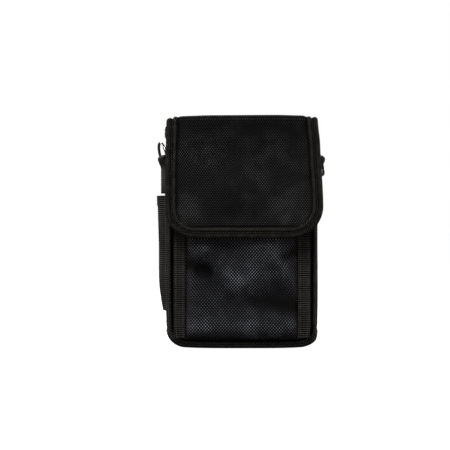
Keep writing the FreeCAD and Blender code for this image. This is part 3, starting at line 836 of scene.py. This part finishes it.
def lid_swell(x, t):
    """How much the padding lifts the cloth, from its sewn edge to the middle."""
    sides = from_sides(x, t)
    inside = np.minimum(sides, lid_end - t)
    rise = front_fold_t - t
    fold = bell(t, front_fold_t - 4, 9.0) * smooth(sides, 6, 14) * (1 + x / 180)
    slack = ridges(
        x, rise, (0.7, (-60, -30), (-10, -62), 12.0), (-0.6, (-20, -92), (30, -82), 9.0),
        (0.5, (20, -55), (62, -75), 10.0), (-0.45, (-5, -30), (30, -48), 9.0))
    fold = fold + slack * smooth(inside, 8, 20)
    return -0.7 + 1.1 * smooth(inside, 4.5, 15) + 0.7 * smooth(inside, 10, 40) + 1.1 * fold


def lid_painted_shading(x, t):
    """Painted light on the lid's glint: painted highlight and painted shade patches, less glint over the top
    and the upper front, and a painted shade line beside its binding.
    """
    rise = front_fold_t - t
    inside = np.minimum(from_sides(x, t), lid_end - t)
    painted_highlights = ridges(
        x, rise, (0.9, (44, -66), (56, -86), 17.0), (0.6, (-54, -92), (-36, -84), 15.0),
        (0.35, (-52, -30), (-24, -52), 20.0), (-0.45, (-12, -78), (16, -94), 15.0))
    return painted_highlights - 0.5 * smooth(rise, -34, -6) - 1.2 * (1 - smooth(inside, 10.2, 12.4))


def lid_grid(start, end, inset, columns=110):
    """Places on the flat lid between two lengths along it, closer together at the corners."""
    corner = lid_end - max(left_radius, right_radius)
    last = min(end, lid_end - inset)
    straight = np.arange(start, min(last, corner), 1.1)
    folds = np.concatenate([np.linspace(place - 7, place + 7, 30) for place in (rear_fold_t, front_fold_t)])
    folds = folds[(folds > start) & (folds < last)]
    t = np.unique(np.round(np.concatenate([straight, folds, [start]]), 3))
    if last > corner:
        t = np.concatenate([t[t < corner], corner + (last - corner) * np.sin(np.linspace(0, pi / 2, 34))])
    else:
        t = np.append(t[t < last - 0.2], last)
    right, left = lid_edge(t, 1, inset), -lid_edge(t, -1, inset)
    x = left[:, None] + (right - left)[:, None] * np.linspace(1, 0, columns)
    return x, np.repeat(t[:, None], columns, 1)


for part, panel, start, end, flat in (
        ("rear", "flap_top", 0.0, split_t, (0.148, 0.037)),
        ("front", "flap_front", split_t, lid_end, (0.148, 0.120))):
    x, t = lid_grid(start, end, 2.5)
    past_lap = smooth(t, rear_fold_t - 14, rear_fold_t)
    grid = lid_point(x, t, lid_half_t * past_lap + lid_swell(x, t) - 0.2 * (1 - past_lap))
    cloth = sewn("lid_%s_cloth" % part, grid, 1.0, ballistic_cloth, joined(x, t), lid_painted_shading(x, t))
    belongs(cloth, "ballistic_cloth", panel + "_outer", body=None)
    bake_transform(cloth)
    x, t = lid_grid(max(start, rear_fold_t - 1.0), end, 2.5)
    x = x[:, ::-1]
    depth = lid_half_t - 0.35 + 0.35 * smooth(lid_swell(x, t), 0, 0.9) + 0.12 * np.sin(x / 7.0 + t / 23.0)
    lining = sewn("lid_%s_lining" % part, lid_point(x, t, -depth), lining_t, lining_cloth, joined(x, t))
    belongs(lining, "lining_cloth", panel + "_lining", body=None)
    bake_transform(lining)

for part, start, end in (
        ("top", rear_fold_t + 5, front_fold_t - 5), ("front", front_fold_t + 5, lid_end - 6)):
    x, t = lid_grid(start, end, 7.0, 40)
    pad = sewn("lid_%s_foam" % part, lid_point(x, t, 0.75 + 0 * x), 1.6, foam_grey)
    belongs(pad, "foam", "flap_%s_foam" % part, body="flap_" + part)

x = np.linspace(-57, 57, 150)
rows = []
for t in (2.6 + 0 * x, 9.4 + 0 * x):
    rows.append((lid_point(x, t, lid_swell(x, t) - 0.2), np.repeat([[0.0, 1.0, 0.0]], 150, 0)))
stitch_rows("lap_stitches", rows)


# --- The lid's binding ---
# One length of twill tape is folded over the lid's edge, from the back, over the top, down
# one side, round the foot and up the other. A row of thread sinks it along its middle, so
# that its inner edge stands up as a ridge beside the cloth.
binding_profile = [      # inset from the edge, and height over the middle of the lid
    (9.9, 1.75), (9.3, 2.75), (8.3, 3.2), (7.2, 3.25), (6.2, 2.4), (5.4, 1.5), (4.6, 2.05), (3.4, 2.75),
    (2.0, 2.7), (0.9, 2.2), (0.15, 1.2), (-0.1, 0.0), (0.15, -1.2), (0.9, -2.1), (2.0, -2.45),
    (3.6, -2.5), (5.4, -2.15), (7.2, -2.7), (8.6, -2.7), (9.8, -2.2)]
outer_rows = 12          # of these, the ones on its outer face


def lid_side(side, radius, count):
    """Down one side of the lid and round its corner: places, and the way inward from each."""
    t = np.linspace(0, lid_end - radius, count)
    turn = np.linspace(0, pi / 2, 40)[1:]
    sine, cosine = np.sin(turn), np.cos(turn)
    down = joined(side * lid_half(t, side), t, -side, 0)
    centre = lid_half(lid_end - radius, side) - radius
    corner = joined(
        side * (centre + radius * cosine), lid_end - radius * (1 - sine), -side * cosine, -sine)
    return np.concatenate([down, corner])


left, right = lid_side(-1, left_radius, 190), lid_side(1, right_radius, 185)
foot = joined(np.linspace(left[-1, 0], right[-1, 0], 90)[1:-1], lid_end, 0, -1)
edge = np.concatenate([left, foot, right[::-1]])
edge_x, edge_t, inward_x, inward_t = edge.T
lap_thin = 0.25 + 0.75 * smooth(edge_t, rear_fold_t - 14, rear_fold_t)
columns = []
for inset, height in binding_profile:
    pucker = 0.10 * np.sin(np.arange(len(edge)) * 1.9) * (2 < inset < 9)
    columns.append(lid_point(
        edge_x + inward_x * inset, edge_t + inward_t * inset, (height + pucker) * lap_thin))
binding = np.stack(columns, 1)
binding_weave = cloth_lengths(binding)
insets = [inset for inset, _ in binding_profile[:outer_rows]] + [1.0] * (len(binding_profile) - outer_rows)
# Painted light across the binding: painted shade in the stitched groove and at its inner edge beside the
# cloth, painted highlight on its inner ridge.
painted_light = np.interp(
    insets, [0.0, 0.9, 2.0, 3.4, 4.6, 5.4, 6.2, 7.2, 8.3, 9.3, 9.9],
    [-0.4, -0.2, -0.1, -0.1, -0.8, -1.0, -0.7, 0.9, 0.8, -0.6, -1.0])
turn_left = int(np.argmin(np.abs(left[:, 1] - split_t)))
turn_right = len(edge) - 1 - int(np.argmin(np.abs(right[:, 1] - split_t)))
for side, rows, part, replaced in (
        ("front", slice(turn_left, turn_right + 1), "front", "flap_front_binding"),
        ("left", slice(0, turn_left + 1), "rear", "flap_top_left_binding"),
        ("right", slice(turn_right, None), "rear", "flap_top_right_binding")):
    grid = binding[rows]
    piece = sewn("lid_%s_binding" % side, grid, tape_t, twill_tape, binding_weave[rows],
                 np.repeat(painted_light[None], len(grid), 0))
    belongs(piece, "binding_tape", replaced, body=None)
    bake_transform(piece)
    seams = lines(binding, np.s_[rows, 5], np.s_[rows, 16])
    stitches = stitch_rows("lid_%s_stitches" % side, seams, None, **fine_stitch)
    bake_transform(stitches)


# --- Hook and loop fastener ---
# A patch of woven nylon tape with rows of small hooks is sewn inside the lid, and a
# patch with brushed loops on the pocket behind it. They hold the lid shut.
hook_low, hook_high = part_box("flap_hook_fastener")
hook_half = hook_high.x / MM
hook_top = lid_place(hook_high.z / MM)
hook_foot = lid_place(hook_low.z / MM)
hook_depth = lid_half_t + 0.75       # the tape's face, under the middle of the lid
hook_r = 0.09
hook_stand = 0.62
hook_pitch = 1.3
hook_tape, tree, shader = new_material("hook_tape")
across, up = weave_places(tree)
ground = times(waves(across, 0.0005), waves(up, 0.0005))
finish(shader, shades(between(ground, 0.5, 1.0), (0.006,) * 3, (0.03,) * 3), 0.4, 0.5, ground, 0.00015, 0.7)

x, t = np.meshgrid(np.linspace(-hook_half, hook_half, 60), np.linspace(hook_top, hook_foot, 20))
hook_patch = sewn("hook_patch", lid_point(x, t, 0 * x - hook_depth), 0.6, hook_tape, joined(x, t))
belongs(hook_patch, "hook_tape", "flap_hook_fastener", body="flap_front")

rng = np.random.default_rng(11)
x, t = np.meshgrid(np.arange(-hook_half + 1.6, hook_half - 1.5, hook_pitch),
                   np.arange(hook_top + 1.6, hook_foot - 1.4, hook_pitch))
x = x.ravel() + rng.uniform(-0.08, 0.08, x.size)
t = t.ravel() + rng.uniform(-0.08, 0.08, t.size)
lean = rng.uniform(0.85, 1.15, x.size)
rings = []
for sway, stand, squash, tip in (
        (-0.1, 0.3, 1, 0), (-0.06, 0.75, 1, 0), (0.12, 1.0, 0.3, 1), (0.34, 0.96, 1, 1), (0.42, 0.72, 1, 1)):
    for angle in np.arange(4) * pi / 2:
        up = hook_r * sin(angle)
        rings.append(lid_point(
            x + hook_r * cos(angle), t + sway * lean + up * squash,
            -hook_depth - stand * hook_stand * lean - up * tip))
points, faces = cords(np.stack(rings, 1).reshape(len(x), 5, 4, 3), inward=True)
belongs(add_piece("hooks", points, faces, hook_tape), "hook_tape", body="flap_front")

loop_tape, tree, shader = new_material("loop_tape")
fuzz = grain(tree, 2600.0, 5.0)
tufts = grain(tree, 500.0, 2.0)
finish(shader, shades(times(fuzz, tufts), (0.006,) * 3, (0.07,) * 3), 0.9, 0.5,
       calc("ADD", fuzz, tufts), 0.0008, 0.9)
feed(0.15, shader.inputs["Sheen Weight"])

loop_low, loop_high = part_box("pocket_loop_fastener")
loop_heights = np.linspace(loop_low.z / MM, loop_high.z / MM, 42)
x, z = np.meshgrid(np.linspace(-hook_half, hook_half, 130), loop_heights)
pile = np.random.default_rng(7).uniform(0, 0.28, x.shape)
pile[:2], pile[-2:], pile[:, :2], pile[:, -2:] = -0.2, -0.2, -0.2, -0.2
loop_patch = sewn("loop_patch", on_pocket(x, z, 1.0 + pile), 0.8, loop_tape, joined(x, z))
belongs(loop_patch, "loop_tape", "pocket_loop_fastener")


# --- Rings and their webbing ---
# A welded D of nickel-plated wire hangs on each side for a shoulder strap. A short webbing
# runs up the gusset from the side seam, round the ring's bar and back down on itself.
ring_wire_r = 1.25
ring_half = 11.25
ring_corner = 2.4
ring_leg = 3.5
ring_height = 171.1
ring_stand = 2.9         # the bar's distance from the gusset
ring_middle = (67.1, -15.5)
ring_yaw = atan2(4.2, 13.0)
ring_leans = {"left": 15.0, "right": 168.0}
loop_r = 1.95            # the webbing's middle, round the bar
tail_out = 1.85          # and down the outer tail
strap_half = 9.3


def on_side(points, side):
    """Seat a piece made outward along +X on the slanting front of a side gusset."""
    x, y, z = np.moveaxis(points, -1, 0)
    seated_x = ring_middle[0] + x * cos(ring_yaw) + y * sin(ring_yaw)
    seated_y = ring_middle[1] - x * sin(ring_yaw) + y * cos(ring_yaw)
    return joined(-seated_x if side == "left" else seated_x, seated_y, z)


nickel, tree, shader = new_material("nickel_wire")
scuffs = grain(tree, 420.0, 6.0)
tarnish = shades(grain(tree, 90.0), (0.18, 0.17, 0.155), (0.52, 0.50, 0.45))
finish(shader, tarnish, between(scuffs, 0.12, 0.36), 0.5, scuffs, 0.00006, 0.3)
feed(1.0, shader.inputs["Metallic"])

turn = np.linspace(0, pi / 2, 12)
bow = np.linspace(0, pi, 60)
inner = ring_half - ring_corner
leg_middle = (ring_corner + ring_leg) / 2
wire = np.stack([
    np.concatenate([
        np.linspace(-inner, inner, 24), inner + ring_corner * np.sin(turn)[1:], [ring_half],
        ring_half * np.cos(bow), [-ring_half], -inner - ring_corner * np.cos(turn)[1:-1]]),
    np.concatenate([
        np.zeros(24), ring_corner * (1 - np.cos(turn))[1:], [leg_middle],
        ring_leg + ring_half * np.sin(bow), [leg_middle], ring_corner * (1 - np.sin(turn))[1:-1]])], 1)
forward = unit(np.roll(wire, -1, 0) - np.roll(wire, 1, 0))
around = np.linspace(0, 2 * pi, 20, endpoint=False)
y = wire[:, :1] + ring_wire_r * forward[:, 1:] * np.cos(around)
z = wire[:, 1:] - ring_wire_r * forward[:, :1] * np.cos(around)
x = ring_wire_r * np.sin(around) + 0 * y
place = np.arange(x.size).reshape(x.shape)
beside = np.roll(place, -1, 1)
ring_faces = quads(place, beside, np.roll(beside, -1, 0), np.roll(place, -1, 0))

bar_turn = np.linspace(pi, 0, 26)
route = np.stack([
    np.concatenate([
        np.full(60, 0.55), ring_stand + loop_r * np.cos(bar_turn), [4.4, 3.5, 2.5, 1.95],
        np.full(30, tail_out)]),
    np.concatenate([
        np.linspace(139.4, 170.6, 60), ring_height + loop_r * np.sin(bar_turn),
        [169.3, 167.4, 165.2, 163.4], np.linspace(162.4, 139.6, 30)])], 1)
along = lengths_along(route)
places = np.arange(0, along[-1], rib_pitch / 6)
route = spread(route, along, places)
strap_y = np.linspace(-strap_half, strap_half, 30)[None]
scallop = 0.28 * np.cos(pi * places / rib_pitch)[:, None]
strap_y = strap_y * (1 + scallop / strap_half * (np.abs(strap_y) > 8.5))
lift = 0.35 + ribs_on(places, 0.28)[:, None]
strap = over_route(route, strap_y, lift)[..., [1, 0, 2]]
tail_y = np.linspace(-7.6, 7.6, 24)

for side, lean in ring_leans.items():
    tilt = radians(lean)
    ring_points = on_side(joined(
        ring_stand + x * cos(tilt) + z * sin(tilt), y,
        ring_height - x * sin(tilt) + z * cos(tilt)), side)
    faces = ring_faces if side == "left" else ring_faces[:, ::-1]
    ring = add_piece(side + "_ring", ring_points.reshape(-1, 3), faces.tolist(), nickel)
    belongs(ring, "nickel_wire", side + "_d_ring", body=side + "_d_ring")
    grid = on_side(strap, side)
    if side == "left":
        grid = grid[:, ::-1]
    webbing_piece = sewn(side + "_ring_strap", grid, 1.1, webbing_cloth)
    belongs(webbing_piece, "webbing", side + "_ring_webbing")
    rows = []
    for tail_z in (141.6, 149.0, 158.6):
        line, above = (on_side(joined(out, tail_y, tail_z), side)
                       for out in (tail_out + 0.66, 3.5))
        rows.append((line, above - line))
    stitch_rows(side + "_ring_stitches", rows)


# --- Elastic side pocket ---
# Wide ribbed elastic is sewn to the left gusset along its front and back edges and its
# foot, and bows outward as an open sleeve for a pen or a small tool. Its top edge is hemmed.
elastic_cloth = ribbed_webbing("elastic", (0.0005, 0.0005, 0.0004), (0.100, 0.096, 0.086), 0.04)
elastic_low, elastic_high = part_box("elastic_pocket")
elastic_mouth = elastic_high.z / MM
elastic_front, elastic_back = -23.4, 21.0
hem = 8.5

height = np.arange(elastic_low.z / MM, elastic_mouth + 0.1, rib_pitch / 6)[:, None]
share = np.linspace(0, 1, 60)
depths = elastic_front + (elastic_back - elastic_front) * share
gusset_half = np.interp(depths, [-24, -22, -18, -9, 19, 22], [65.2, 65.6, 66.3, side_half, side_half, 69.0])
reach = np.interp(height, [34, 42, 54, 64, 92, 138], [1.6, 3.2, 5.0, 5.6, 5.6, 7.0])
bow = (1 - (2 * share - 1) ** 2) ** 0.62
slack_fold = bell(share, 0.17, 0.05) - 1.3 * bell(share, 0.095, 0.025)
out = gusset_half + 0.5 + reach * bow + 0.9 * slack_fold * smooth(height, 45, 80)
out += ribs_on(height, 0.34) * 0.9
out = out + 0.5 * smooth(height, elastic_mouth - hem - 1, elastic_mouth - hem) * bow
grid = joined(-out, depths, height)[:, ::-1]
elastic = sewn("elastic_sleeve", grid, 1.0, elastic_cloth)
belongs(elastic, "elastic", "elastic_pocket")
hem_row = int(np.argmin(np.abs(height - (elastic_mouth - hem + 0.5))))
stitch_rows("elastic_stitches", lines(grid, hem_row, np.s_[:, 2], np.s_[:, -3]), **webbing_stitch)


# --- Belt loop ---
# A wide webbing strap stands off the back wall so that a belt passes behind it. Each end
# is sewn down with a box and a cross of thread.
loop_low, loop_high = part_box("belt_loop")
loop_half, loop_far, loop_top = loop_high / MM
loop_foot = loop_low.z / MM
near = back_face + back_swell + 0.25
far = loop_far - 1.2
sewn_end = 12.5          # flat on the wall up to here
ramp_end = 21.0          # clear of it by its full height from here
places, route = rounded_route([
    (near, loop_foot), (near, loop_foot + sewn_end), (far, loop_foot + ramp_end),
    (far, loop_top - ramp_end), (near, loop_top - sewn_end), (near, loop_top)], [7] * 4, rib_pitch / 6)
x = np.linspace(loop_half, -loop_half, 50)
selvage = bell(np.abs(x), loop_half - 0.8, 0.5)
lift = ribs_on(places, 0.3)[:, None] * (1 - selvage) + 0.2 * selvage + 0.9
belongs(sewn("belt_strap", over_route(route, x, -lift), 1.4, webbing_cloth), "webbing", "belt_loop")
rows = []
share = np.linspace(0, 1, 40)[:, None]
for low, high in ((loop_foot + 1.8, loop_foot + 11.0), (loop_top - 11.0, loop_top - 1.8)):
    corners = [(-17.5, low), (17.5, low), (17.5, high), (-17.5, high)]
    for start, end in [*zip(corners, corners[1:] + corners[:1]), corners[::2], corners[1::2]]:
        run = np.array(start) * (1 - share) + np.array(end) * share
        line = np.insert(run, 1, near + 1.2, axis=1)
        rows.append((line, np.repeat([[0.0, 1.0, 0.0]], 40, 0)))
stitch_rows("belt_loop_stitches", rows, radius=0.28)
